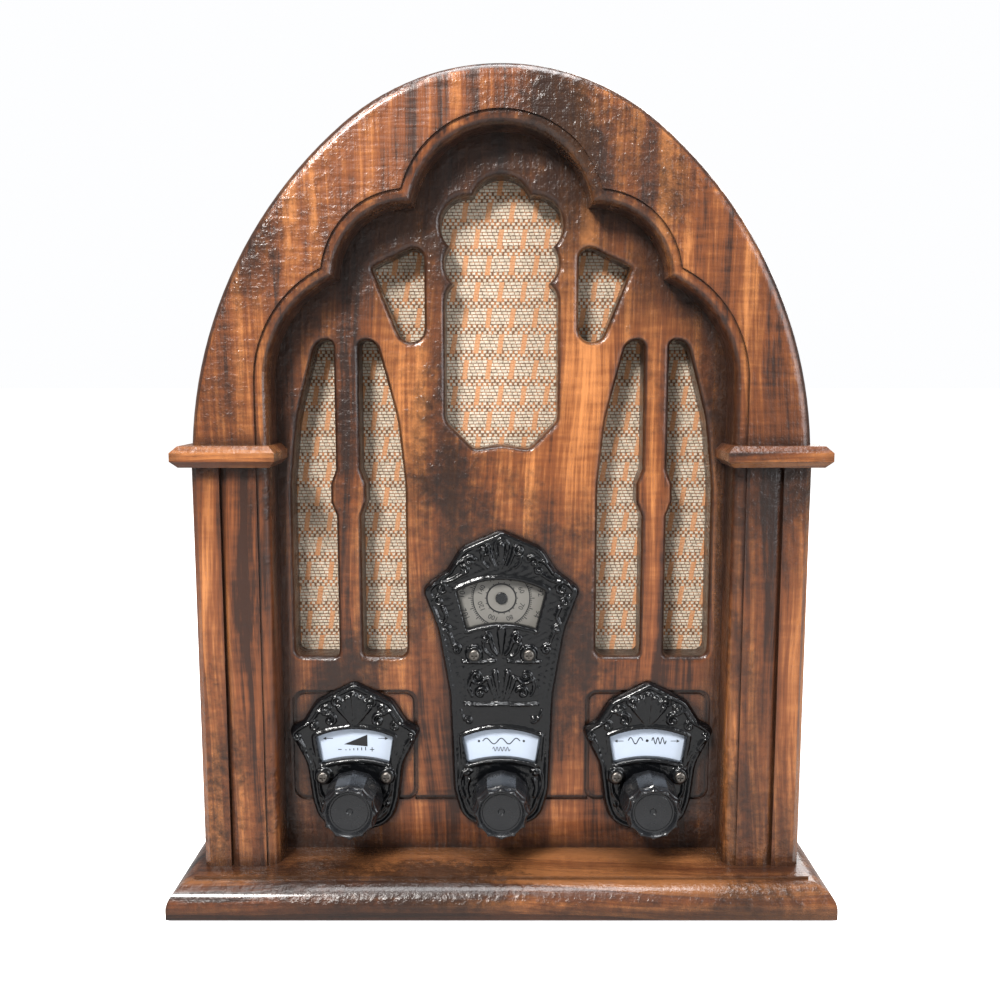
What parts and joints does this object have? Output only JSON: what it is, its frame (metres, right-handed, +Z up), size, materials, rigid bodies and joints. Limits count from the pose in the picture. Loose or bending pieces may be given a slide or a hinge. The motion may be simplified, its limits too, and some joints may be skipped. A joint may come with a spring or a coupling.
{
  "type": "tabletop radio",
  "caption": "Arched wooden tabletop radio: scalloped front frame over a fretwork grille, three plates with knobs, a turning dial, moulded base and screwed rear cover.",
  "frame": {"origin": "middle of the underside, at the level of the felt feet", "axes": "+Z up, the front faces -Y, +X to the viewer's right from the front"},
  "size_m": [0.32, 0.2, 0.4],
  "materials": {
    "stained_pine": "gloss varnish over dark walnut-stained pine",
    "raw_board": "bare plywood and softwood",
    "hardboard": "smooth dark hardboard",
    "grille_weave": "cream and rust woven cloth",
    "felt": "black felt",
    "escutcheon_black": "glossy black cast relief",
    "knob_black": "satin black moulding",
    "label_paper": "smooth printed card",
    "dial_paper": "matt printed dial",
    "plated_steel": "zinc-plated steel",
    "nickel": "nickel-plated screws",
    "brass_fitting": "turned brass",
    "speaker_paper": "pressed paper pulp",
    "ferrite": "sintered ferrite",
    "drum_plastic": "cream moulded plastic",
    "cord_fibre": "waxed dial cord",
    "board_green": "lacquered circuit board",
    "bright_can": "drawn aluminium can",
    "black_anodised": "black anodised extrusion",
    "lamination": "varnished laminations",
    "coil_wrap": "taped copper winding",
    "moulded_black": "moulded nylon"
  },
  "bodies": {
    "cabinet": {"base_plank": "stained_pine", "feet": "felt", "cabinet_shell": "stained_pine", "arch_frame": "stained_pine", "left_column": "stained_pine", "right_column": "stained_pine", "left_ledge": "stained_pine", "right_ledge": "stained_pine", "front_panel": "stained_pine", "front_blocks": "raw_board", "grille_cloth": "grille_weave", "speaker_baffle": "raw_board", "window_backings": "raw_board", "baffle_screws": "plated_steel", "speaker_frame": "plated_steel", "speaker_surround": "speaker_paper", "speaker_magnet": "ferrite", "centre_plate": "escutcheon_black", "volume_plate": "escutcheon_black", "band_plate": "escutcheon_black", "tuning_label": "label_paper", "volume_label": "label_paper", "band_label": "label_paper", "plate_screws": "nickel", "volume_pot": "plated_steel", "band_switch": "plated_steel", "tuning_bearing": "brass_fitting", "control_nuts": "plated_steel", "dial_cord": "cord_fibre", "tuning_capacitor": "drum_plastic", "chassis": "plated_steel", "chassis_screws": "plated_steel", "circuit_board": "board_green", "board_standoffs": "moulded_black", "filter_capacitors": "moulded_black", "coil_cans": "bright_can", "amplifier_heatsink": "black_anodised", "ferrite_antenna": "ferrite", "antenna_coil": "coil_wrap", "antenna_holders": "moulded_black", "transformer_core": "lamination", "transformer_coil": "coil_wrap", "cover_frame": "raw_board", "rear_cover": "hardboard", "cover_screws": "plated_steel", "cable_gland": "moulded_black", "gland_nut": "moulded_black"},
    "volume_control": {"volume_knob": "knob_black", "volume_shaft": "plated_steel"},
    "tuning_control": {"tuning_knob": "knob_black", "tuning_shaft": "plated_steel", "tuning_pulley": "drum_plastic"},
    "dial": {"dial_disc": "dial_paper", "dial_drum": "drum_plastic", "dial_shaft": "plated_steel", "dial_cap": "knob_black"},
    "band_selector": {"band_knob": "knob_black", "band_shaft": "plated_steel"},
    "speaker_diaphragm": {"speaker_cone": "speaker_paper", "dust_cap": "speaker_paper"}
  },
  "joints": [
    {"name": "volume_turn", "type": "hinge", "parent": "cabinet", "child": "volume_control", "pos_m": [-0.074, -0.075, 0.048], "axis": [0, 1, 0], "range_deg": [-150, 150]},
    {"name": "tuning_turn", "type": "hinge", "parent": "cabinet", "child": "tuning_control", "pos_m": [0, -0.075, 0.048], "axis": [0, 1, 0], "range_deg": [-270, 270]},
    {"name": "dial_turn", "type": "hinge", "parent": "cabinet", "child": "dial", "pos_m": [0, -0.058, 0.1487], "axis": [0, 1, 0], "range_deg": [-90, 90]},
    {"name": "band_turn", "type": "hinge", "parent": "cabinet", "child": "band_selector", "pos_m": [0.074, -0.075, 0.048], "axis": [0, 1, 0], "range_deg": [-30, 30]},
    {"name": "cone_travel", "type": "slide", "parent": "cabinet", "child": "speaker_diaphragm", "axis": [0, -1, 0], "range_m": [-0.0015, 0.0015], "stiffness_N_per_m": 800}
  ],
  "couplings": [
    {"joint": "dial_turn", "follows": "tuning_turn", "ratio": 0.33333}
  ]
}
